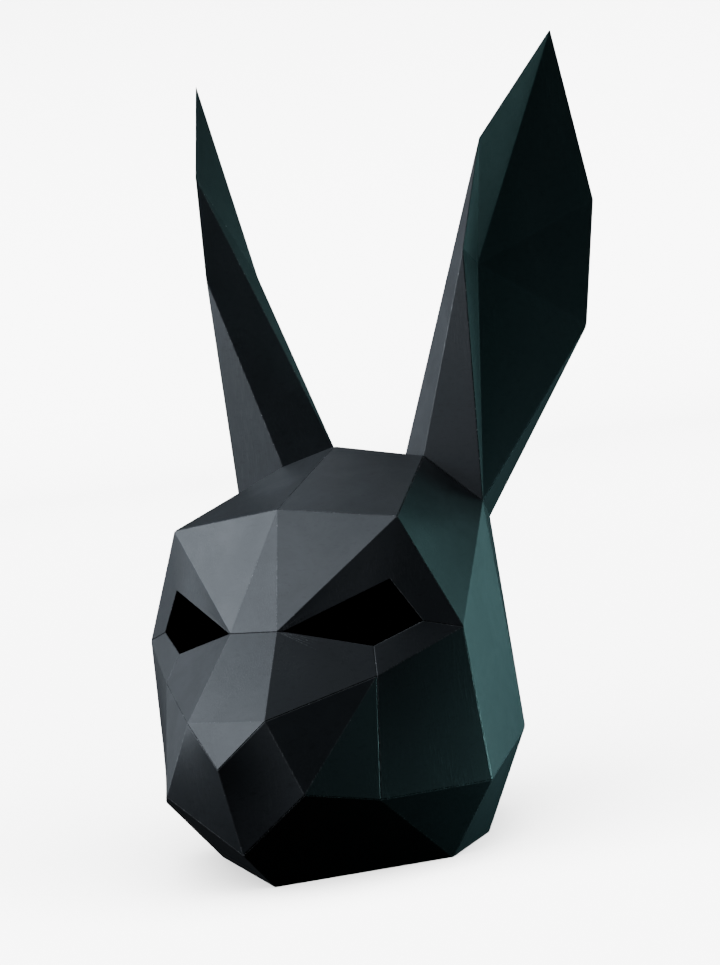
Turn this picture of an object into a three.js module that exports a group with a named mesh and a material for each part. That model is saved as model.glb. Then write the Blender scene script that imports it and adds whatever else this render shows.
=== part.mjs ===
// Folded-card rabbit mask: a full head of flat and gently bowed panels with two tall ears.
// Millimetres, +Z up. The face looks to -Y and the wearer's left is +X.
// The mask stands on its neck rim at Z = 0, with X and Y = 0 at the middle of its box.

import * as THREE from 'three';
import { mergeVertices } from 'three/addons/utils/BufferGeometryUtils.js';

// Driving sizes of the head, in millimetres
const HEAD_WIDTH = 262;
const HEAD_DEPTH = 320;
const HEAD_HEIGHT = 280;

// Driving sizes of an ear, measured from its outer root to its tip
const EAR_RISE = 324;
const EAR_SPREAD = 51;
const EAR_SWEEP = 94;
const EAR_WIDTH = 125;
const EAR_DEPTH = 35;
const EAR_HOLLOW = 18;
const EAR_TURN = THREE.MathUtils.degToRad(24);

// Sheet and joints
const CARD_THICKNESS = 1.2;
const PIECE_GAP = 0.3;

const MERGE_DISTANCE = 0.01;

// A bowed panel is laid out in this many steps each way
const BOW_STEPS = 4;

// Fold corners of the head. Shares: across of half the width, back of the depth from the
// nose tip, up of the height above the neck rim. Corners off the middle have a mirror twin.
const HEAD_CORNERS = {
  browPeak: { across: 0, back: 0.358, up: 0.882 },
  crown: { across: 0, back: 0.627, up: 0.997 },
  crownBack: { across: 0, back: 0.903, up: 0.879 },
  noseTip: { across: 0, back: 0, up: 0.328 },
  chin: { across: 0, back: 0.053, up: 0.108 },
  throat: { across: 0, back: 0.158, up: 0 },
  bridge: { across: 0.139, back: 0.202, up: 0.61 },
  brow: { across: 0.683, back: 0.374, up: 0.844 },
  noseWing: { across: 0.23, back: 0.053, up: 0.428 },
  underEye: { across: 0.637, back: 0.24, up: 0.487 },
  temple: { across: 0.959, back: 0.394, up: 0.567 },
  mouth: { across: 0.411, back: 0.05, up: 0.252 },
  jaw: { across: 0.648, back: 0.185, up: 0.204 },
  cheek: { across: 1, back: 0.407, up: 0.191 },
  rimSide: { across: 0.71, back: 0.412, up: 0 },
  sideBack: { across: 0.85, back: 0.703, up: 0.251 },
  rimRear: { across: 0.645, back: 0.633, up: 0 },
  rimNape: { across: 0.366, back: 0.797, up: 0 },
  backHigh: { across: 0.435, back: 0.99, up: 0.589 },
  backLow: { across: 0.427, back: 0.928, up: 0.214 },
  earFront: { across: 0.443, back: 0.697, up: 0.948 },
  earRoot: { across: 0.762, back: 0.702, up: 0.822 },
  earBehind: { across: 0.649, back: 0.815, up: 0.767 },
  earInside: { across: 0.205, back: 0.789, up: 0.942 },
};

// Corners of the eye hole, with the same shares as the head's corners
const EYE_CORNERS = {
  eyeInner: { across: 0.161, back: 0.211, up: 0.608 },
  eyeTop: { across: 0.651, back: 0.334, up: 0.701 },
  eyeOuter: { across: 0.791, back: 0.351, up: 0.593 },
  eyeBottom: { across: 0.589, back: 0.274, up: 0.552 },
};

// Corners of an ear above its root: a share along the line from root to tip, a share of the
// width towards the rear rim, and millimetres deep behind the ear's open face
const EAR_CORNERS = {
  earTip: { along: 1, chord: 0, deep: 0 },
  rimUpper: { along: 0.778, chord: -0.416, deep: 0 },
  rimLower: { along: 0.545, chord: -0.416, deep: 0 },
  rimRearUpper: { along: 0.613, chord: 0.53, deep: 0 },
  rimRearLower: { along: 0.341, chord: 0.606, deep: 0 },
  earSpine: { along: 0.532, chord: -0.206, deep: EAR_DEPTH },
  earValley: { along: 0.504, chord: -0.176, deep: EAR_HOLLOW },
};

// Panels by card piece, each a loop of corners seen anticlockwise from outside.
// A corner that ends in * is the mirror twin. A four-sided panel is gently bowed.
const WHOLE_PIECES = {
  brow: {
    middle: [['browPeak', 'bridge*', 'bridge']],
    sides: [
      ['browPeak', 'bridge', 'brow'],
      ['bridge', 'eyeInner', 'eyeTop', 'brow'],
      ['brow', 'eyeTop', 'eyeOuter', 'temple'],
    ],
  },
  nose: {
    middle: [
      ['bridge*', 'noseWing*', 'noseWing', 'bridge'],
      ['noseWing*', 'noseTip', 'noseWing'],
    ],
    sides: [
      ['bridge', 'noseWing', 'underEye'],
      ['bridge', 'underEye', 'eyeBottom', 'eyeInner'],
    ],
  },
  muzzle: {
    middle: [],
    sides: [
      ['noseWing', 'noseTip', 'chin', 'mouth'],
      ['noseWing', 'mouth', 'underEye'],
      ['underEye', 'mouth', 'jaw'],
    ],
  },
  jaw: {
    middle: [],
    sides: [
      ['chin', 'throat', 'rimSide', 'mouth'],
      ['mouth', 'rimSide', 'jaw'],
      ['jaw', 'rimSide', 'cheek'],
    ],
  },
  back_top: {
    middle: [['crownBack', 'backHigh', 'backHigh*']],
    sides: [
      ['crownBack', 'earInside', 'backHigh'],
      ['earInside', 'earBehind', 'backHigh'],
    ],
  },
  back: {
    middle: [
      ['backHigh', 'backLow', 'backLow*', 'backHigh*'],
      ['backLow', 'rimNape', 'rimNape*', 'backLow*'],
    ],
    sides: [],
  },
};

const PAIRED_PIECES = {
  cheek: [
    ['temple', 'eyeOuter', 'eyeBottom', 'underEye'],
    ['underEye', 'jaw', 'cheek', 'temple'],
  ],
  crown: [
    ['browPeak', 'brow', 'earFront', 'crown'],
    ['crown', 'earFront', 'earInside'],
    ['crown', 'earInside', 'crownBack'],
  ],
  side: [
    ['brow', 'temple', 'earRoot', 'earFront'],
    ['temple', 'cheek', 'sideBack', 'earRoot'],
  ],
  lower_side: [
    ['cheek', 'rimSide', 'rimRear', 'sideBack'],
    ['sideBack', 'rimRear', 'rimNape', 'backLow'],
  ],
  back_side: [
    ['earRoot', 'sideBack', 'earBehind'],
    ['earBehind', 'sideBack', 'backLow'],
    ['earBehind', 'backLow', 'backHigh'],
  ],
  ear_shell: [
    ['earFront', 'earRoot', 'rimLower'],
    ['earFront', 'rimLower', 'rimUpper', 'earInside'],
    ['rimUpper', 'earSpine', 'earInside'],
    ['rimUpper', 'earTip', 'earSpine'],
    ['earTip', 'rimRearUpper', 'earSpine'],
    ['rimRearUpper', 'rimRearLower', 'earSpine'],
    ['earSpine', 'rimRearLower', 'earBehind'],
    ['earSpine', 'earBehind', 'earInside'],
    ['rimRearLower', 'earRoot', 'earBehind'],
  ],
  ear_lining: [
    ['rimUpper', 'rimLower', 'earValley'],
    ['rimLower', 'earRoot', 'earValley'],
    ['earRoot', 'rimRearLower', 'earValley'],
    ['rimRearLower', 'rimRearUpper', 'earValley'],
    ['rimRearUpper', 'earTip', 'earValley'],
    ['earTip', 'rimUpper', 'earValley'],
  ],
};

// Finish of the card
const CARD_COLOUR = 0x16181a;
const LINING_COLOUR = 0x101213;
const CARD_ROUGHNESS = 0.62;

const cardFinish = (colour) =>
  new THREE.MeshStandardMaterial({ color: colour, roughness: CARD_ROUGHNESS, metalness: 0 });

const mirrorPoint = (point) => new THREE.Vector3(-point.x, point.y, point.z);

const mirrorName = (name) => {
  if (name.endsWith('*')) return name.slice(0, -1);
  return corners.get(name).x === 0 ? name : `${name}*`;
};

const mirrorPanel = (panel) => panel.map(mirrorName).reverse();

function placeHeadCorners(table) {
  for (const [name, row] of Object.entries({ ...HEAD_CORNERS, ...EYE_CORNERS })) {
    table.set(name, new THREE.Vector3(
      row.across * HEAD_WIDTH / 2,
      row.back * HEAD_DEPTH,
      row.up * HEAD_HEIGHT,
    ));
  }
}

function placeEarCorners(table) {
  const root = table.get('earRoot');
  const axis = new THREE.Vector3(EAR_SPREAD, EAR_SWEEP, EAR_RISE);
  const chord = new THREE.Vector3(Math.sin(EAR_TURN), Math.cos(EAR_TURN), 0);
  const inward = new THREE.Vector3().crossVectors(axis, chord).normalize();
  for (const [name, row] of Object.entries(EAR_CORNERS)) {
    table.set(name, root.clone()
      .addScaledVector(axis, row.along)
      .addScaledVector(chord, row.chord * EAR_WIDTH)
      .addScaledVector(inward, row.deep));
  }
}

function placeMirrorTwins(table) {
  for (const [name, point] of [...table]) {
    if (point.x !== 0) table.set(`${name}*`, mirrorPoint(point));
  }
}

const corners = new Map();
placeHeadCorners(corners);
placeEarCorners(corners);
placeMirrorTwins(corners);

// All card pieces, as lists of panels
const pieces = new Map();
for (const [name, { middle, sides }] of Object.entries(WHOLE_PIECES)) {
  pieces.set(name, [...middle, ...sides, ...sides.map(mirrorPanel)]);
}
for (const [name, panels] of Object.entries(PAIRED_PIECES)) {
  pieces.set(`${name}_left`, panels);
  pieces.set(`${name}_right`, panels.map(mirrorPanel));
}
const allPanels = [...pieces.values()].flat();

const edgeName = (a, b) => `${a} ${b}`;
const panelEdges = (panel) => panel.map((name, i) => [name, panel[(i + 1) % panel.length]]);
const allEdges = new Set(allPanels.flatMap(panelEdges).map(([a, b]) => edgeName(a, b)));

// The edges of the bowed panels are split, and so are the edges that meet them
const bowedEdges = new Set(allPanels.filter((panel) => panel.length === 4)
  .flatMap(panelEdges).flatMap(([a, b]) => [edgeName(a, b), edgeName(b, a)]));
const edgeSplits = (a, b) => (bowedEdges.has(edgeName(a, b)) ? BOW_STEPS : 1);

// A free edge has no panel on its other side: the neck rim and the eye holes
const isFreeEdge = (a, b) => !allEdges.has(edgeName(b, a));

const neighbours = (panel, name) => {
  const at = panel.indexOf(name);
  const count = panel.length;
  return { before: panel[(at + count - 1) % count], after: panel[(at + 1) % count] };
};

// Outward normal of a panel at one of its corners
function cornerNormal(panel, name) {
  const { before, after } = neighbours(panel, name);
  const here = corners.get(name);
  const forward = corners.get(after).clone().sub(here);
  const backward = corners.get(before).clone().sub(here);
  return forward.cross(backward).normalize();
}

// Least-squares step whose dot product with each row's direction is the row's amount
const STEP_DAMPING = 1e-4;

function bestStep(rows) {
  const square = new THREE.Matrix3().set(0, 0, 0, 0, 0, 0, 0, 0, 0);
  const right = new THREE.Vector3();
  for (const { direction, amount, weight } of rows) {
    const d = direction.toArray();
    for (let column = 0; column < 3; column += 1) {
      for (let row = 0; row < 3; row += 1) {
        square.elements[column * 3 + row] += weight * d[row] * d[column];
      }
    }
    right.addScaledVector(direction, weight * amount);
  }
  for (let i = 0; i < 3; i += 1) square.elements[i * 4] += STEP_DAMPING;
  return right.applyMatrix3(square.invert());
}

// Weights of the conditions on a step: a free edge is held hardest
const FREE_WEIGHT = 1000;
const JOINT_WEIGHT = 10;
const PLANE_WEIGHT = 1;
const UP = new THREE.Vector3(0, 0, 1);

// From the outer to the inner face of the card at a corner, one thickness inside every panel
// that meets there, so that neighbouring pieces are mitred along their shared edges
function thicknessStep(name) {
  const rows = allPanels.filter((panel) => panel.includes(name)).map((panel) => ({
    direction: cornerNormal(panel, name), amount: -CARD_THICKNESS, weight: PLANE_WEIGHT,
  }));
  if (corners.get(name).z === 0) rows.push({ direction: UP, amount: 0, weight: FREE_WEIGHT });
  return bestStep(rows);
}

const inwardSteps = new Map([...corners.keys()].map((name) => [name, thicknessStep(name)]));

// Normal of the cut face along an edge, pointing into the panel
function wallNormal(panel, a, b) {
  const along = corners.get(b).clone().sub(corners.get(a));
  const inward = inwardSteps.get(a).clone().add(inwardSteps.get(b));
  const wall = along.clone().cross(inward).normalize();
  const intoPanel = cornerNormal(panel, a).cross(along);
  return wall.dot(intoPanel) < 0 ? wall.negate() : wall;
}

// The panels of a piece that meet at a corner, in groups joined by folds
function fansAt(panels, name) {
  const waiting = panels.filter((panel) => panel.includes(name));
  const fans = [];
  while (waiting.length > 0) {
    const fan = [waiting.pop()];
    let grown = true;
    while (grown) {
      const reach = new Set(fan.flatMap((panel) => Object.values(neighbours(panel, name))));
      const found = waiting.findIndex((panel) =>
        Object.values(neighbours(panel, name)).some((other) => reach.has(other)));
      grown = found >= 0;
      if (grown) fan.push(...waiting.splice(found, 1));
    }
    fans.push(fan);
  }
  return fans;
}

// How far a corner of a piece draws back, so that half the gap lies along each joint
function gapStep(fan, name, pieceEdges) {
  const rows = [];
  for (const panel of fan) {
    const { before, after } = neighbours(panel, name);
    for (const [a, b] of [[before, name], [name, after]]) {
      if (pieceEdges.has(edgeName(b, a))) continue;
      const free = isFreeEdge(a, b);
      rows.push({
        direction: wallNormal(panel, a, b),
        amount: free ? 0 : PIECE_GAP / 2,
        weight: free ? FREE_WEIGHT : JOINT_WEIGHT,
      });
    }
  }
  if (rows.length === 0) return new THREE.Vector3();
  for (const panel of fan) {
    rows.push({ direction: cornerNormal(panel, name), amount: 0, weight: PLANE_WEIGHT });
  }
  return bestStep(rows);
}

// Points of an edge, split evenly
const edgePoints = (a, b, count) =>
  Array.from({ length: count }, (_, i) => a.clone().lerp(b, i / count));

// Triangles of one face of a panel: a bowed grid for four corners, else a flat fan
function panelFace(ends, splits) {
  const triangles = [];
  if (ends.length === 4) {
    const [a, b, c, d] = ends;
    const at = (i, j) => a.clone().lerp(b, i / BOW_STEPS)
      .lerp(d.clone().lerp(c, i / BOW_STEPS), j / BOW_STEPS);
    for (let i = 0; i < BOW_STEPS; i += 1) {
      for (let j = 0; j < BOW_STEPS; j += 1) {
        const [p, q, r, s] = [at(i, j), at(i + 1, j), at(i + 1, j + 1), at(i, j + 1)];
        if (p.distanceTo(r) < q.distanceTo(s)) triangles.push([p, q, r], [p, r, s]);
        else triangles.push([p, q, s], [q, r, s]);
      }
    }
    return triangles;
  }
  const ring = ends.flatMap((end, i) => edgePoints(end, ends[(i + 1) % 3], splits[i]));
  if (ring.length === 3) return [ring];
  const middle = new THREE.Vector3();
  ends.forEach((end) => middle.addScaledVector(end, 1 / ends.length));
  return ring.map((point, i) => [middle, point, ring[(i + 1) % ring.length]]);
}

// A closed solid of folded card from its panels
function foldedCard(panels) {
  const pieceEdges = new Set(panels.flatMap(panelEdges).map(([a, b]) => edgeName(a, b)));
  const outer = new Map();
  const inner = new Map();
  for (const name of new Set(panels.flat())) {
    for (const fan of fansAt(panels, name)) {
      const point = corners.get(name).clone().add(gapStep(fan, name, pieceEdges));
      for (const panel of fan) {
        outer.set(`${panel} ${name}`, point);
        inner.set(`${panel} ${name}`, point.clone().add(inwardSteps.get(name)));
      }
    }
  }
  const triangles = [];
  for (const panel of panels) {
    const splits = panelEdges(panel).map(([a, b]) => edgeSplits(a, b));
    const outerEnds = panel.map((name) => outer.get(`${panel} ${name}`));
    const innerEnds = panel.map((name) => inner.get(`${panel} ${name}`));
    triangles.push(...panelFace(outerEnds, splits));
    triangles.push(...panelFace(innerEnds, splits).map(([p, q, r]) => [p, r, q]));
    panel.forEach((name, i) => {
      const j = (i + 1) % panel.length;
      if (pieceEdges.has(edgeName(panel[j], name))) return;
      const top = [...edgePoints(outerEnds[i], outerEnds[j], splits[i]), outerEnds[j]];
      const low = [...edgePoints(innerEnds[i], innerEnds[j], splits[i]), innerEnds[j]];
      const sameWay = name < panel[j];
      for (let k = 0; k < splits[i]; k += 1) {
        const [p, q, r, s] = [top[k], low[k], low[k + 1], top[k + 1]];
        if (sameWay) triangles.push([p, q, r], [p, r, s]);
        else triangles.push([p, q, s], [q, r, s]);
      }
    });
  }
  const geometry = new THREE.BufferGeometry();
  const numbers = triangles.flat().flatMap((point) => point.toArray());
  geometry.setAttribute('position', new THREE.Float32BufferAttribute(numbers, 3));
  const solid = mergeVertices(geometry, MERGE_DISTANCE);
  solid.computeVertexNormals();
  return solid;
}

const mask = new THREE.Group();
for (const [name, panels] of pieces) {
  const colour = name.startsWith('ear_lining') ? LINING_COLOUR : CARD_COLOUR;
  const mesh = new THREE.Mesh(foldedCard(panels), cardFinish(colour));
  mesh.name = name;
  mask.add(mesh);
}

// Bring the middle of the box over the origin; the neck rim is already at Z = 0
const box = new THREE.Box3().setFromObject(mask);
mask.position.y = -(box.min.y + box.max.y) / 2;
mask.updateMatrixWorld(true);

export default mask;
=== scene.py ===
"""Dresses the folded-card rabbit mask in black card and stands it in a plain pale studio."""

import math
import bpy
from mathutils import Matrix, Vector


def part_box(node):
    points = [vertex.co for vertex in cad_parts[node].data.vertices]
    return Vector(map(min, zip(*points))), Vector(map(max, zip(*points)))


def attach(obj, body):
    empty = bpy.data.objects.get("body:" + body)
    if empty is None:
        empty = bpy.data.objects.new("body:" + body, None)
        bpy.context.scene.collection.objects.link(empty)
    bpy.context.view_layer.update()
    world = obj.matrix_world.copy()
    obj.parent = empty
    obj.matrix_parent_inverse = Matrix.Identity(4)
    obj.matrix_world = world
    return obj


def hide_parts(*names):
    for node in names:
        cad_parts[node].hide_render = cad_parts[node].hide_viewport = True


bl_info = {
    "name": "Folded-card rabbit mask",
    "version": (1, 0, 0),
    "blender": (4, 5, 0),
    "location": "3D View > Sidebar > Card Mask",
    "description": "Finishes the folded-card rabbit mask and sets up its studio",
    "category": "Object",
}

from collections import namedtuple

import bmesh
import bpy
from bpy.props import FloatProperty, FloatVectorProperty, PointerProperty
from mathutils import Matrix, Vector
from mathutils.bvhtree import BVHTree

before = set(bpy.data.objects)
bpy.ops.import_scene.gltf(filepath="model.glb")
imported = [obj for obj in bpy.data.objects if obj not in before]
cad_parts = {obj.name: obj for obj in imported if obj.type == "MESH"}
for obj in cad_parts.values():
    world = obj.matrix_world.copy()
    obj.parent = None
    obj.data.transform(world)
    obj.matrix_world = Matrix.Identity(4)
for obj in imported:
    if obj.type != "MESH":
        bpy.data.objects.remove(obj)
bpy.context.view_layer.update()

FACE_PIECES = ("brow", "nose", "muzzle", "jaw", "cheek_left", "cheek_right")
HEAD_PIECES = (
    "crown_left",
    "crown_right",
    "side_left",
    "side_right",
    "lower_side_left",
    "lower_side_right",
    "back_side_left",
    "back_side_right",
    "back_top",
    "back",
)
EAR_SHELLS = ("ear_shell_left", "ear_shell_right")
EAR_LININGS = ("ear_lining_left", "ear_lining_right")

# Corners of the solids closer than this are one corner
MERGE_DISTANCE = 1e-5
# Faces that turn less than this from each other are one flat panel
FLAT_ANGLE = math.radians(0.01)
# The two sides of a panel face away from each other to within this
PARALLEL_ANGLE = math.radians(20)
# A fold beside a whole flat panel may be as shallow as this
SHALLOW_FOLD = math.radians(1)
# The steps of a bowed panel are smaller than this, in square metres
BOW_STEP_AREA = 0.00045
# Strips across the rounding of a fold
FOLD_SEGMENTS = 2

# Two pieces nearer than this meet at a seam
SEAM_REACH = 0.001
# Widest tab as a share of the room in its panel
TAB_SHARE = 0.6
# Scraps of a tab smaller than this are left out, in square metres
SMALLEST_TAB = 0.00005
# An edge sharper than this leads round to the other side of the card
TURNED_OVER = math.radians(120)

# Material slots of a card piece, and the finishes that fill them
PANEL_SLOT, FOLD_SLOT, CUT_SLOT = range(3)
CARD_FINISHES = ("card_panel", "card_fold", "card_cut")
# The ear linings take darker copies of the card's finishes, as painted shade in the hollows of the
# ears
LINING_FINISHES = ("lining_panel_shaded", "lining_fold_shaded", "card_cut")

# Colours and roughness of a finish. Fibres is the share of the fleck colour in a fibre, and
# flecks show where their noise is over the limit.
Finish = namedtuple("Finish", "dark light fleck roughness fibres fleck_limit")
# A dent hides this share of the colour, and rubbing takes this much off the roughness
DENT_DARKNESS = 0.22
RUBBED_GLOSS = 0.05
# The part of each noise, from low to high, over which its mark grows from nothing to full
FIBRE_RANGE = (0.48, 0.7)
PATCH_RANGE = (0.4, 0.6)
RUBBED_RANGE = (0.42, 0.68)
DENT_RANGE = (0.56, 0.72)
FLECK_RANGE = (0.0, 0.03)

# The studio's paper is this rough and this pale in its duller clouds, which have this scale
PAPER_ROUGHNESS = 0.95
CLOUD_PALENESS = 0.98
CLOUD_SCALE = 2.5
SWEEP_SEGMENTS = 24

# The camera's sensor in millimetres, and how far it sees in metres
SENSOR_WIDTH = 36.0
FAR_CLIP = 50.0

# Soft square lights round LIGHT_AIM. Azimuth runs from the front of the mask towards its left.
# Degrees, metres and watts. The group's level and colour stand in the stage settings.
Light = namedtuple("Light", "name group azimuth elevation distance size power")
LIGHTS = (
    Light("key_light", "front", -65, 32, 1.4, 0.8, 13.4),
    Light("front_light", "front", -20, 35, 1.4, 0.8, 9.8),
    Light("low_front_light", "front", -65, 10, 1.4, 0.8, 8.8),
    Light("side_light", "front", -118, 3, 1.4, 0.8, 1.2),
    Light("top_light", "front", -130, 75, 1.4, 0.8, 6.3),
    Light("high_rear_light", "rear", 130, 30, 1.4, 0.5, 1.2),
    Light("left_rear_light", "rear", 130, 10, 1.4, 0.5, 1.0),
    Light("rear_light", "rear", 170, 15, 1.5, 0.5, 0.9),
    Light("low_rear_light", "rear", 150, -8, 1.2, 0.4, 2.1),
    Light("foot_light", "rear", 110, -36, 0.43, 0.05, 0.76),
)
LIGHT_AIM = Vector((0.0, 0.0, 0.28))


class CardSettings(bpy.types.PropertyGroup):
    """Sizes and colours of the card."""

    fold_width: FloatProperty(
        name="Fold Width",
        description="Width of the rounding along each fold and cut edge",
        default=0.0005,
        min=0.00005,
        subtype="DISTANCE",
        unit="LENGTH",
    )
    fold_angle: FloatProperty(
        name="Fold Angle",
        description="Edges that turn more than this are folds; the rest belong to a bowed panel",
        default=math.radians(10.5),
        subtype="ANGLE",
        unit="ROTATION",
    )
    sheet_depth: FloatProperty(
        name="Sheet Depth",
        description="Largest distance between the two sides of a panel",
        default=0.0022,
        subtype="DISTANCE",
        unit="LENGTH",
    )
    tab_width: FloatProperty(
        name="Tab Width",
        description="Width of the glued tabs inside the mask, on each side of a seam",
        default=0.012,
        min=0.002,
        subtype="DISTANCE",
        unit="LENGTH",
    )
    tab_thickness: FloatProperty(
        name="Tab Thickness",
        description="Thickness of the glued tabs",
        default=0.0004,
        min=0.0001,
        subtype="DISTANCE",
        unit="LENGTH",
    )
    card_colour: FloatVectorProperty(
        name="Card Colour",
        description="Colour of the black card",
        default=(0.020, 0.022, 0.024),
        min=0.0,
        max=1.0,
        subtype="COLOR",
    )
    # The lining is the same black card, set a little darker than the outer card as painted shade in
    # the ear's hollow
    lining_shade_colour: FloatVectorProperty(
        name="Ear Lining Colour",
        description="Colour of the card inside the ears",
        default=(0.018, 0.020, 0.022),
        min=0.0,
        max=1.0,
        subtype="COLOR",
    )
    worn_colour: FloatVectorProperty(
        name="Worn Colour",
        description="Colour of the scuffed fibres along a fold",
        default=(0.046, 0.048, 0.051),
        min=0.0,
        max=1.0,
        subtype="COLOR",
    )
    core_colour: FloatVectorProperty(
        name="Core Colour",
        description="Colour of the card's core where it was cut",
        default=(0.30, 0.305, 0.31),
        min=0.0,
        max=1.0,
        subtype="COLOR",
    )
    grain_depth: FloatProperty(
        name="Grain Depth",
        description="Height of the paper grain",
        default=0.00003,
        min=0.0,
        subtype="DISTANCE",
        unit="LENGTH",
    )
    sag_depth: FloatProperty(
        name="Sag Depth",
        description="Height of the slow unevenness of each panel",
        default=0.0012,
        min=0.0,
        subtype="DISTANCE",
        unit="LENGTH",
    )


class StageSettings(bpy.types.PropertyGroup):
    """Camera, floor and lights."""

    camera_azimuth: FloatProperty(
        name="Azimuth",
        description="Turn of the camera round the mask, towards its left side",
        default=math.radians(30.137),
        subtype="ANGLE",
        unit="ROTATION",
    )
    camera_elevation: FloatProperty(
        name="Elevation",
        description="Height of the camera above the horizon",
        default=math.radians(5.056),
        subtype="ANGLE",
        unit="ROTATION",
    )
    camera_roll: FloatProperty(
        name="Roll",
        description="Turn of the camera about its own axis",
        default=math.radians(-7.217),
        subtype="ANGLE",
        unit="ROTATION",
    )
    camera_distance: FloatProperty(
        name="Distance",
        description="Distance from the camera to the point it looks at",
        default=2.0,
        min=0.5,
        subtype="DISTANCE",
        unit="LENGTH",
    )
    camera_aim: FloatVectorProperty(
        name="Aim",
        description="Point that the camera looks at",
        default=(0.0372, -0.0044, 0.2557),
        subtype="TRANSLATION",
        unit="LENGTH",
    )
    lens: FloatProperty(
        name="Lens",
        description="Focal length in millimetres",
        default=108.19,
        min=20.0,
        subtype="DISTANCE_CAMERA",
        unit="CAMERA",
    )
    floor_size: FloatProperty(
        name="Floor Size",
        description="Width and depth of the floor",
        default=9.0,
        min=2.0,
        subtype="DISTANCE",
        unit="LENGTH",
    )
    sweep_radius: FloatProperty(
        name="Sweep Radius",
        description="Radius of the bend from the floor up to the backdrop",
        default=1.2,
        min=0.1,
        subtype="DISTANCE",
        unit="LENGTH",
    )
    floor_colour: FloatVectorProperty(
        name="Floor Colour",
        description="Colour of the floor and the backdrop",
        default=(0.80, 0.80, 0.80),
        min=0.0,
        max=1.0,
        subtype="COLOR",
    )
    floor_light: FloatProperty(
        name="Floor Light",
        description="Brightness of the floor and the room, which the mask doesn't take part in",
        default=13.0,
        min=0.0,
    )
    floor_light_tilt: FloatProperty(
        name="Floor Light Tilt",
        description="Slope at which the floor's light comes from in front",
        default=math.radians(40),
        subtype="ANGLE",
        unit="ROTATION",
    )
    floor_light_spread: FloatProperty(
        name="Floor Light Spread",
        description="Width of the floor's light, which softens the mask's shadow",
        default=math.radians(130),
        subtype="ANGLE",
        unit="ROTATION",
    )
    floor_bounce: FloatProperty(
        name="Floor Bounce",
        description="Colour of the floor as the mask sees it, so that it stays dark from below",
        default=0.001,
        min=0.0,
        max=1.0,
        subtype="FACTOR",
    )
    front_level: FloatProperty(
        name="Front Level",
        description="Dims or lifts the pale lights in front and above",
        default=1.0,
        min=0.0,
        subtype="FACTOR",
    )
    front_colour: FloatVectorProperty(
        name="Front Colour",
        description="Colour of the pale lights in front and above",
        default=(0.81, 0.90, 1.0),
        min=0.0,
        max=1.0,
        subtype="COLOR",
    )
    rear_level: FloatProperty(
        name="Rear Level",
        description="Dims or lifts the teal lights behind the mask",
        default=1.0,
        min=0.0,
        subtype="FACTOR",
    )
    rear_colour: FloatVectorProperty(
        name="Rear Colour",
        description="Colour of the teal lights behind the mask",
        default=(0.47, 0.98, 1.0),
        min=0.0,
        max=1.0,
        subtype="COLOR",
    )


# Shader nodes


def add_node(tree, kind, **values):
    """A node of a kind; each value goes to the input or the property of that name."""
    node = tree.nodes.new(kind)
    for name, value in values.items():
        socket = node.inputs.get(name.replace("_", " "))
        if socket is not None and not hasattr(node, name):
            socket.default_value = value
        else:
            setattr(node, name, value)
    return node


def new_group(name, inputs, outputs):
    """A shader node group with number inputs and outputs, and its two end nodes."""
    tree = bpy.data.node_groups.new(name, "ShaderNodeTree")
    for label, default in inputs:
        socket = tree.interface.new_socket(label, in_out="INPUT", socket_type="NodeSocketFloat")
        socket.default_value = default
    for label in outputs:
        tree.interface.new_socket(label, in_out="OUTPUT", socket_type="NodeSocketFloat")
    entry = tree.nodes.new("NodeGroupInput")
    leave = tree.nodes.new("NodeGroupOutput")
    return tree, entry, leave


def stretched_noise(tree, size, stretch, **values):
    """Noise on the object's own coordinates, whose marks are longer along Z by the stretch."""
    place = add_node(tree, "ShaderNodeTexCoord")
    longer = add_node(tree, "ShaderNodeMapping", Scale=(1.0, 1.0, 1.0 / stretch))
    tree.links.new(place.outputs["Object"], longer.inputs["Vector"])
    noise = add_node(tree, "ShaderNodeTexNoise", **values)
    tree.links.new(longer.outputs["Vector"], noise.inputs["Vector"])
    tree.links.new(size, noise.inputs["Scale"])
    return noise.outputs["Fac"]


def spread_range(tree, value, low, high):
    """The part of a value between low and high, spread over 0 to 1."""
    node = add_node(tree, "ShaderNodeMapRange", From_Min=low, From_Max=high)
    tree.links.new(value, node.inputs["Value"])
    return node.outputs["Result"]


def multiply(tree, first, second):
    """The product of two values, each a number or an output."""
    node = add_node(tree, "ShaderNodeMath", operation="MULTIPLY")
    for socket, value in zip(node.inputs, (first, second)):
        if isinstance(value, bpy.types.NodeSocket):
            tree.links.new(value, socket)
        else:
            socket.default_value = value
    return node.outputs["Value"]


def paper_grain_group():
    """Fine grain with long fibres in patches. Height for a bump, Fibres for the colour."""
    tree, entry, leave = new_group(
        "Paper Grain", [("Grain", 1500.0), ("Fibre", 1100.0), ("Patch", 26.0)], ["Height", "Fibres"]
    )
    grain = stretched_noise(tree, entry.outputs["Grain"], 1.0, Detail=2.0, Roughness=0.6)
    fibre = stretched_noise(tree, entry.outputs["Fibre"], 14.0, Detail=2.0, Roughness=0.6)
    patch = stretched_noise(tree, entry.outputs["Patch"], 1.6, Detail=1.0, Roughness=0.5)
    shown = multiply(
        tree, spread_range(tree, fibre, *FIBRE_RANGE), spread_range(tree, patch, *PATCH_RANGE)
    )
    tree.links.new(shown, leave.inputs["Fibres"])
    height = add_node(tree, "ShaderNodeMath", operation="ADD")
    tree.links.new(grain, height.inputs[0])
    tree.links.new(shown, height.inputs[1])
    tree.links.new(height.outputs["Value"], leave.inputs["Height"])
    return tree


def panel_sag_group():
    """The slow unevenness of a stiff sheet between its folds. Height for a bump."""
    tree, entry, leave = new_group("Panel Sag", [("Size", 9.0)], ["Height"])
    waves = stretched_noise(tree, entry.outputs["Size"], 1.0, Detail=0.6, Roughness=0.35)
    tree.links.new(waves, leave.inputs["Height"])
    return tree


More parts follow.
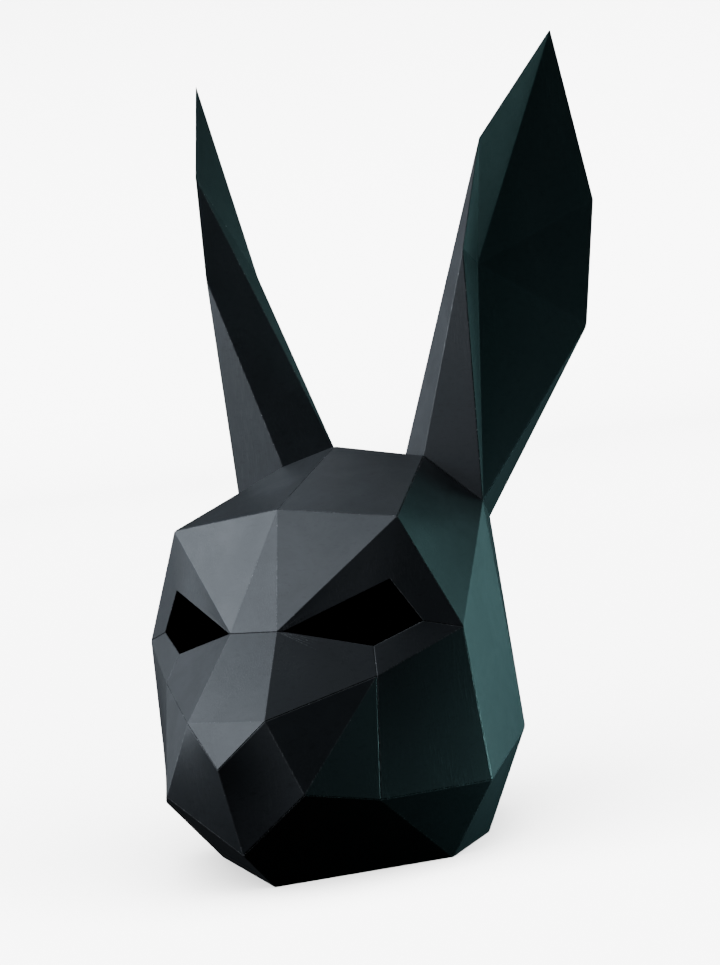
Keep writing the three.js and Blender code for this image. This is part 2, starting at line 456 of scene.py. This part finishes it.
def handling_group():
    """Marks of handling. Rubbed is near 1 in smooth patches, Dents in small dull ones."""
    tree, entry, leave = new_group(
        "Handling Marks", [("Patch", 30.0), ("Dent", 190.0)], ["Rubbed", "Dents"]
    )
    patches = stretched_noise(
        tree, entry.outputs["Patch"], 1.0, Detail=5.0, Roughness=0.6, Distortion=0.4
    )
    tree.links.new(spread_range(tree, patches, *RUBBED_RANGE), leave.inputs["Rubbed"])
    dents = stretched_noise(tree, entry.outputs["Dent"], 0.4, Detail=2.0, Roughness=0.6)
    tree.links.new(spread_range(tree, dents, *DENT_RANGE), leave.inputs["Dents"])
    return tree


def flecks_group():
    """Small bare flecks where the black surface has chipped. Mask is 1 on a fleck."""
    tree, entry, leave = new_group("Bare Flecks", [("Size", 420.0), ("Limit", 0.66)], ["Mask"])
    flecks = stretched_noise(tree, entry.outputs["Size"], 1.0, Detail=3.0, Roughness=0.7)
    over = add_node(tree, "ShaderNodeMath", operation="SUBTRACT")
    tree.links.new(flecks, over.inputs[0])
    tree.links.new(entry.outputs["Limit"], over.inputs[1])
    shown = spread_range(tree, over.outputs["Value"], *FLECK_RANGE)
    tree.links.new(shown, leave.inputs["Mask"])
    return tree


def shared_groups():
    """The effects that the card materials share, built once."""
    makers = {
        "Paper Grain": paper_grain_group,
        "Panel Sag": panel_sag_group,
        "Handling Marks": handling_group,
        "Bare Flecks": flecks_group,
    }
    for name, make in makers.items():
        if name not in bpy.data.node_groups:
            make()
    return {name: bpy.data.node_groups[name] for name in makers}


def colour_output(mix):
    """The colour output of a Mix node, which also has hidden outputs of other types."""
    return next(socket for socket in mix.outputs if socket.type == "RGBA")


def mix_colours(tree, factor, first, second):
    """A mix of two colours, each a colour or an output."""
    mix = add_node(tree, "ShaderNodeMix", data_type="RGBA")
    tree.links.new(factor, mix.inputs["Factor"])
    for name, colour in (("A", first), ("B", second)):
        if isinstance(colour, bpy.types.NodeSocket):
            tree.links.new(colour, mix.inputs[name])
        else:
            mix.inputs[name].default_value = (*colour, 1.0)
    return colour_output(mix)


def place_group(tree, group, **values):
    """A group node in a material, with its own values."""
    node = tree.nodes.new("ShaderNodeGroup")
    node.node_tree = group
    for name, value in values.items():
        node.inputs[name].default_value = value
    return node


def card_material(name, finish, card):
    """Card with its grain, handling marks and chipped flecks."""
    material = bpy.data.materials.new(name)
    material.use_nodes = True
    tree = material.node_tree
    link = tree.links.new
    shader = tree.nodes["Principled BSDF"]
    groups = shared_groups()
    grain = place_group(tree, groups["Paper Grain"])
    waves = place_group(tree, groups["Panel Sag"])
    marks = place_group(tree, groups["Handling Marks"])
    flecks = place_group(tree, groups["Bare Flecks"], Limit=finish.fleck_limit)

    fibres = multiply(tree, grain.outputs["Fibres"], finish.fibres)
    plain = mix_colours(tree, marks.outputs["Rubbed"], finish.dark, finish.light)
    streaked = mix_colours(tree, fibres, plain, finish.fleck)
    dents = multiply(tree, marks.outputs["Dents"], DENT_DARKNESS)
    dented = mix_colours(tree, dents, streaked, (0.0, 0.0, 0.0))
    chipped = mix_colours(tree, flecks.outputs["Mask"], dented, finish.fleck)
    link(chipped, shader.inputs["Base Color"])

    gloss = add_node(
        tree, "ShaderNodeMapRange", To_Min=finish.roughness, To_Max=finish.roughness - RUBBED_GLOSS
    )
    link(marks.outputs["Rubbed"], gloss.inputs["Value"])
    link(gloss.outputs["Result"], shader.inputs["Roughness"])

    broad = add_node(tree, "ShaderNodeBump", Strength=1.0, Distance=card.sag_depth)
    link(waves.outputs["Height"], broad.inputs["Height"])
    fine = add_node(tree, "ShaderNodeBump", Strength=1.0, Distance=card.grain_depth)
    link(grain.outputs["Height"], fine.inputs["Height"])
    link(broad.outputs["Normal"], fine.inputs["Normal"])
    link(fine.outputs["Normal"], shader.inputs["Normal"])
    return material


def card_materials(card):
    """Every finish of the card, made once and kept by name."""
    black, lining = tuple(card.card_colour), tuple(card.lining_shade_colour)
    worn, core = tuple(card.worn_colour), tuple(card.core_colour)
    finishes = {
        "card_panel": Finish(black, (0.028, 0.030, 0.033), worn, 0.44, 0.3, 0.80),
        "card_fold": Finish((0.024, 0.026, 0.028), worn, core, 0.52, 0.4, 0.67),
        "card_cut": Finish((0.036, 0.038, 0.040), (0.085, 0.088, 0.091), core, 0.7, 0.3, 0.6),
        # The lining finishes are darker than the card's, with fewer light fibres and darker folds:
        # painted shade in the ear's hollow
        "lining_panel_shaded": Finish(lining, (0.024, 0.026, 0.028), worn, 0.42, 0.2, 0.82),
        "lining_fold_shaded": Finish(lining, (0.026, 0.028, 0.030), worn, 0.5, 0.2, 0.78),
    }
    for name, finish in finishes.items():
        if name not in bpy.data.materials:
            card_material(name, finish, card)
    return {name: bpy.data.materials[name] for name in finishes}


# Card pieces


def merged_copy(node_name):
    """A CAD node's mesh with its doubles merged and its flat panels whole."""
    piece = bmesh.new()
    piece.from_mesh(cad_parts[node_name].data)
    bmesh.ops.remove_doubles(piece, verts=piece.verts, dist=MERGE_DISTANCE)
    bmesh.ops.dissolve_limit(
        piece, angle_limit=FLAT_ANGLE, verts=piece.verts, edges=piece.edges
    )
    return piece


def mark_cut_faces(piece, card):
    """Gives the panel slot to faces with the card's other side behind them, and to faces in
    line with those, and the cut slot to the rest."""
    tree = BVHTree.FromBMesh(piece)
    panels = set()
    for face in piece.faces:
        centre = face.calc_center_median()
        inward = -face.normal
        start = centre + inward * MERGE_DISTANCE
        _, normal, _, distance = tree.ray_cast(start, inward, card.sheet_depth)
        if distance is not None and normal.angle(inward) < PARALLEL_ANGLE:
            panels.add(face)
    front = list(panels)
    while front:
        for edge in front.pop().edges:
            if edge.is_manifold and edge.calc_face_angle() < card.fold_angle:
                found = set(edge.link_faces) - panels
                panels |= found
                front.extend(found)
    for face in piece.faces:
        face.material_index = PANEL_SLOT if face in panels else CUT_SLOT


def is_fold(edge, card):
    """Tells a fold from a line between two steps of one bowed panel."""
    if not edge.is_manifold:
        return False
    angle = edge.calc_face_angle()
    largest = max(face.calc_area() for face in edge.link_faces)
    return angle > card.fold_angle or (angle > SHALLOW_FOLD and largest > BOW_STEP_AREA)


def ease_folds(piece, card):
    """Rounds every fold and cut edge by a narrow strip that has its own slot."""
    folds = [edge for edge in piece.edges if is_fold(edge, card)]
    eased = bmesh.ops.bevel(
        piece,
        geom=folds,
        offset=card.fold_width,
        offset_type="OFFSET",
        affect="EDGES",
        segments=FOLD_SEGMENTS,
        profile=0.5,
        material=-1,
        clamp_overlap=True,
    )
    for face in eased["faces"]:
        if face.material_index == PANEL_SLOT:
            face.material_index = FOLD_SLOT
        for edge in face.edges:
            edge.smooth = False
    for face in piece.faces:
        face.smooth = True


def dress_card(node_name, finishes, card):
    """Replaces a CAD node by its dressed copy."""
    piece = merged_copy(node_name)
    mark_cut_faces(piece, card)
    ease_folds(piece, card)
    mesh = bpy.data.meshes.new(f"card_{node_name}")
    piece.to_mesh(mesh)
    piece.free()
    for finish in finishes:
        mesh.materials.append(finish)
    dressed = bpy.data.objects.new(f"card_{node_name}", mesh)
    bpy.context.scene.collection.objects.link(dressed)
    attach(dressed, "root")
    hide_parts(node_name)
    return dressed


def dress_pieces(names, finish_names, card):
    """Dresses like pieces alike, or stops where a piece isn't in the frame."""
    missing = [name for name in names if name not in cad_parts]
    if missing:
        raise RuntimeError(f"the frame has no pieces named {missing}")
    stock = card_materials(card)
    finishes = [stock[finish] for finish in finish_names]
    for name in names:
        dress_card(name, finishes, card)


class CARDMASK_OT_face(bpy.types.Operator):
    """Dress the brow, nose, muzzle, jaw and cheeks in black card"""

    bl_idname = "card_mask.face"
    bl_label = "Dress Face"

    def execute(self, context):
        dress_pieces(FACE_PIECES, CARD_FINISHES, context.scene.card_mask)
        return {"FINISHED"}


class CARDMASK_OT_head(bpy.types.Operator):
    """Dress the crown, the sides and the back in black card"""

    bl_idname = "card_mask.head"
    bl_label = "Dress Head"

    def execute(self, context):
        dress_pieces(HEAD_PIECES, CARD_FINISHES, context.scene.card_mask)
        return {"FINISHED"}


class CARDMASK_OT_ears(bpy.types.Operator):
    """Dress the shells and the hollow linings of both ears"""

    bl_idname = "card_mask.ears"
    bl_label = "Dress Ears"

    def execute(self, context):
        card = context.scene.card_mask
        dress_pieces(EAR_SHELLS, CARD_FINISHES, card)
        dress_pieces(EAR_LININGS, LINING_FINISHES, card)
        return {"FINISHED"}


# Glued tabs


def joined_runs(faces, crosses):
    """Groups the faces that touch at edges which the test lets through."""
    faces = list(faces)
    unseen = set(faces)
    runs = []
    for first in faces:
        if first not in unseen:
            continue
        unseen.remove(first)
        run = [first]
        for face in run:
            for edge in face.edges:
                near = [other for other in edge.link_faces if other in unseen and crosses(edge)]
                unseen -= set(near)
                run += near
        runs.append(run)
    return runs


def keep_inner_side(piece, aim):
    """Leaves only the side of the card that faces the aim."""

    def facing(side):
        return sum(
            face.calc_area() * face.normal.dot(aim - face.calc_center_median()) for face in side
        )

    panels = [face for face in piece.faces if face.material_index == PANEL_SLOT]
    sides = joined_runs(panels, lambda edge: edge.calc_face_angle() < TURNED_OVER)
    inner = max(sides, key=facing)
    rest = [face for face in piece.faces if face not in inner]
    bmesh.ops.delete(piece, geom=rest, context="FACES")


def inset_panels(piece, card):
    """Draws a strip along the outline of each panel and returns the strips' faces."""
    strips = []
    for panel in joined_runs(piece.faces, lambda edge: not is_fold(edge, card)):
        area = sum(face.calc_area() for face in panel)
        sides = [edge for face in panel for edge in face.edges]
        outline = sum(edge.calc_length() for edge in sides if sides.count(edge) == 1)
        inset = bmesh.ops.inset_region(
            piece,
            faces=panel,
            thickness=min(card.tab_width, TAB_SHARE * 2 * area / outline),
            use_boundary=True,
            use_even_offset=False,
        )
        strips += inset["faces"]
    return strips


def cut_tabs(piece, neighbours, card):
    """Turns a piece's inner side into strips along its seams that reach over the gap."""
    skin = BVHTree.FromBMesh(piece)
    outline = {vert for edge in piece.edges if edge.is_boundary for vert in edge.verts}

    def at_seam(vert):
        return any(tree.find_nearest(vert.co, SEAM_REACH)[0] for tree in neighbours)

    seam = {vert for vert in outline if at_seam(vert)}
    strips = inset_panels(piece, card)
    at_seams = [face for face in strips if len(seam & set(face.verts)) > 1]
    tabs = set()
    for run in joined_runs(at_seams, lambda edge: True):
        if sum(face.calc_area() for face in run) > SMALLEST_TAB:
            tabs.update(run)
    rest = [face for face in piece.faces if face not in tabs]
    bmesh.ops.delete(piece, geom=rest, context="FACES")
    for vert in piece.verts:
        if vert not in seam:
            vert.co = skin.find_nearest(vert.co)[0]
    for vert in seam:
        if vert.is_valid:
            inward = [edge.other_vert(vert) for edge in vert.link_edges]
            ways = [vert.co - other.co for other in inward if other not in seam]
            vert.co += sum(ways, Vector()).normalized() * SEAM_REACH / 2


def make_tabs(names, card):
    """All glued tabs in one piece: black card strips over the seams, inside the mask."""
    solids = {name: merged_copy(name) for name in names}
    trees = {name: BVHTree.FromBMesh(solid) for name, solid in solids.items()}
    middle = Vector((0.0, 0.0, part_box("brow")[0][2]))
    aims = {
        shell: (Vector(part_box(lining)[0]) + Vector(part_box(lining)[1])) / 2
        for shell, lining in zip(EAR_SHELLS, EAR_LININGS)
    }
    tabs = bmesh.new()
    sheet = bpy.data.meshes.new("card_glue_tabs")
    for name, solid in solids.items():
        mark_cut_faces(solid, card)
        keep_inner_side(solid, aims.get(name, middle))
        cut_tabs(solid, [tree for other, tree in trees.items() if other != name], card)
        solid.to_mesh(sheet)
        solid.free()
        tabs.from_mesh(sheet)
    tabs.to_mesh(sheet)
    tabs.free()
    sheet.materials.append(card_materials(card)["card_panel"])
    glued = bpy.data.objects.new("card_glue_tabs", sheet)
    bpy.context.scene.collection.objects.link(glued)
    layer = glued.modifiers.new("layer", "SOLIDIFY")
    layer.thickness = card.tab_thickness
    layer.offset = 1.0
    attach(glued, "root")


class CARDMASK_OT_tabs(bpy.types.Operator):
    """Glue tabs over the seams on the inside of the mask"""

    bl_idname = "card_mask.tabs"
    bl_label = "Glue Tabs"

    def execute(self, context):
        make_tabs(FACE_PIECES + HEAD_PIECES + EAR_SHELLS, context.scene.card_mask)
        return {"FINISHED"}


# Stage


def seen_by_camera(tree, strength):
    """A value that is strength where the camera looks straight at it, and 0 elsewhere."""
    path = add_node(tree, "ShaderNodeLightPath")
    return multiply(tree, path.outputs["Is Camera Ray"], strength)


def stage_material(stage):
    """Pale seamless paper that hardly lights the mask from below."""
    material = bpy.data.materials.new("pale_paper")
    material.use_nodes = True
    tree = material.node_tree
    link = tree.links.new
    shader = tree.nodes["Principled BSDF"]
    place = add_node(tree, "ShaderNodeTexCoord")
    cloud = add_node(tree, "ShaderNodeTexNoise", Scale=CLOUD_SCALE, Detail=2.0)
    link(place.outputs["Object"], cloud.inputs["Vector"])
    duller = [CLOUD_PALENESS * part for part in stage.floor_colour]
    paper = mix_colours(tree, cloud.outputs["Fac"], stage.floor_colour, duller)
    dark = [stage.floor_bounce] * 3
    link(mix_colours(tree, seen_by_camera(tree, 1.0), dark, paper), shader.inputs["Base Color"])
    shader.inputs["Roughness"].default_value = PAPER_ROUGHNESS
    shader.inputs["Specular IOR Level"].default_value = 0.0
    return material


def make_floor(stage):
    """One sheet that runs over the floor, bends up behind the mask and faces the camera."""
    half = stage.floor_size / 2
    sweep = bmesh.new()
    bmesh.ops.create_grid(sweep, x_segments=1, y_segments=1, size=half)
    far = [edge for edge in sweep.edges if all(vert.co.y > 0 for vert in edge.verts)]
    raised = bmesh.ops.extrude_edge_only(sweep, edges=far)
    wall = [item for item in raised["geom"] if isinstance(item, bmesh.types.BMVert)]
    bmesh.ops.translate(sweep, verts=wall, vec=(0, 0, half))
    bmesh.ops.bevel(
        sweep,
        geom=far,
        offset=stage.sweep_radius,
        offset_type="OFFSET",
        affect="EDGES",
        segments=SWEEP_SEGMENTS,
        profile=0.5,
        material=-1,
    )
    bmesh.ops.recalc_face_normals(sweep, faces=sweep.faces)
    bmesh.ops.rotate(
        sweep, verts=sweep.verts, matrix=Matrix.Rotation(stage.camera_azimuth, 3, "Z")
    )
    for face in sweep.faces:
        face.smooth = True
    mesh = bpy.data.meshes.new("studio_floor")
    sweep.to_mesh(mesh)
    sweep.free()
    mesh.materials.append(stage_material(stage))
    floor = bpy.data.objects.new("studio_floor", mesh)
    bpy.context.scene.collection.objects.link(floor)
    return floor


def link_light(lamp, floor, state):
    """Lets a lamp fall on the floor alone (INCLUDE) or on all but the floor (EXCLUDE)."""
    linked = bpy.data.collections.new(f"{lamp.name}_link")
    linked.objects.link(floor)
    linked.collection_objects[0].light_linking.link_state = state
    lamp.light_linking.receiver_collection = linked


def light_floor(stage, floor):
    """A broad light that falls on the floor alone, with the mask's soft shadow in it."""
    data = bpy.data.lights.new("floor_light", "SUN")
    data.energy = stage.floor_light * math.pi
    data.angle = stage.floor_light_spread
    lamp = bpy.data.objects.new("floor_light", data)
    lamp.matrix_world = Matrix.Rotation(stage.camera_azimuth, 4, "Z") @ Matrix.Rotation(
        stage.floor_light_tilt, 4, "X"
    )
    bpy.context.scene.collection.objects.link(lamp)
    link_light(lamp, floor, "INCLUDE")


def make_camera(stage):
    """The camera at the photograph's angle, with its roll."""
    data = bpy.data.cameras.new("studio_camera")
    data.lens = stage.lens
    data.sensor_width = SENSOR_WIDTH
    data.clip_end = FAR_CLIP
    camera = bpy.data.objects.new("studio_camera", data)
    turn = (
        Matrix.Rotation(stage.camera_azimuth, 4, "Z")
        @ Matrix.Rotation(math.pi / 2 - stage.camera_elevation, 4, "X")
        @ Matrix.Rotation(stage.camera_roll, 4, "Z")
    )
    back = turn.to_3x3() @ Vector((0, 0, 1))
    place = Vector(stage.camera_aim) + back * stage.camera_distance
    camera.matrix_world = Matrix.Translation(place) @ turn
    bpy.context.scene.collection.objects.link(camera)
    bpy.context.scene.camera = camera


def add_light(light, level, colour):
    """A soft square light that faces LIGHT_AIM and doesn't show itself."""
    data = bpy.data.lights.new(light.name, "AREA")
    data.shape = "SQUARE"
    data.size = light.size
    data.energy = light.power * level
    data.color = colour
    lamp = bpy.data.objects.new(light.name, data)
    turn = (
        Matrix.Rotation(math.radians(light.azimuth), 4, "Z")
        @ Matrix.Rotation(math.radians(90 - light.elevation), 4, "X")
    )
    lamp.matrix_world = (
        Matrix.Translation(LIGHT_AIM) @ turn @ Matrix.Translation((0, 0, light.distance))
    )
    lamp.visible_camera = False
    bpy.context.scene.collection.objects.link(lamp)
    return lamp


def make_lights(stage, floor):
    """The soft lights round the mask, which leave the floor as it is."""
    levels = {"front": stage.front_level, "rear": stage.rear_level}
    colours = {"front": stage.front_colour, "rear": stage.rear_colour}
    for light in LIGHTS:
        lamp = add_light(light, levels[light.group], colours[light.group])
        link_light(lamp, floor, "EXCLUDE")


def make_world(stage):
    """A room that shows pale but casts no light of its own."""
    world = bpy.data.worlds.new("studio_room")
    world.use_nodes = True
    tree = world.node_tree
    background = tree.nodes["Background"]
    background.inputs["Color"].default_value = (*stage.floor_colour, 1.0)
    tree.links.new(seen_by_camera(tree, stage.floor_light), background.inputs["Strength"])
    bpy.context.scene.world = world


class CARDMASK_OT_stage(bpy.types.Operator):
    """Set the floor, the lights, the room and the camera"""

    bl_idname = "card_mask.stage"
    bl_label = "Set Studio"

    def execute(self, context):
        stage = context.scene.card_mask_stage
        floor = make_floor(stage)
        light_floor(stage, floor)
        make_lights(stage, floor)
        make_world(stage)
        make_camera(stage)
        return {"FINISHED"}


OPERATORS = (
    CARDMASK_OT_face,
    CARDMASK_OT_head,
    CARDMASK_OT_ears,
    CARDMASK_OT_tabs,
    CARDMASK_OT_stage,
)


class CARDMASK_PT_panel(bpy.types.Panel):
    """Lists the mask's pieces, its finish and its studio"""

    bl_idname = "CARDMASK_PT_panel"
    bl_label = "Card Mask"
    bl_space_type = "VIEW_3D"
    bl_region_type = "UI"
    bl_category = "Card Mask"

    def draw(self, context):
        column = self.layout.column()
        for operator in OPERATORS:
            column.operator(operator.bl_idname)
        for settings in (context.scene.card_mask, context.scene.card_mask_stage):
            box = self.layout.box()
            for name in settings.__annotations__:
                box.prop(settings, name)


CLASSES = (CardSettings, StageSettings, *OPERATORS, CARDMASK_PT_panel)


def register():
    for cls in CLASSES:
        bpy.utils.register_class(cls)
    bpy.types.Scene.card_mask = PointerProperty(type=CardSettings)
    bpy.types.Scene.card_mask_stage = PointerProperty(type=StageSettings)


def unregister():
    del bpy.types.Scene.card_mask_stage
    del bpy.types.Scene.card_mask
    for cls in reversed(CLASSES):
        bpy.utils.unregister_class(cls)


def main():
    register()
    bpy.ops.card_mask.face()
    bpy.ops.card_mask.head()
    bpy.ops.card_mask.ears()
    bpy.ops.card_mask.tabs()
    bpy.ops.card_mask.stage()


if __name__ == "__main__":
    main()
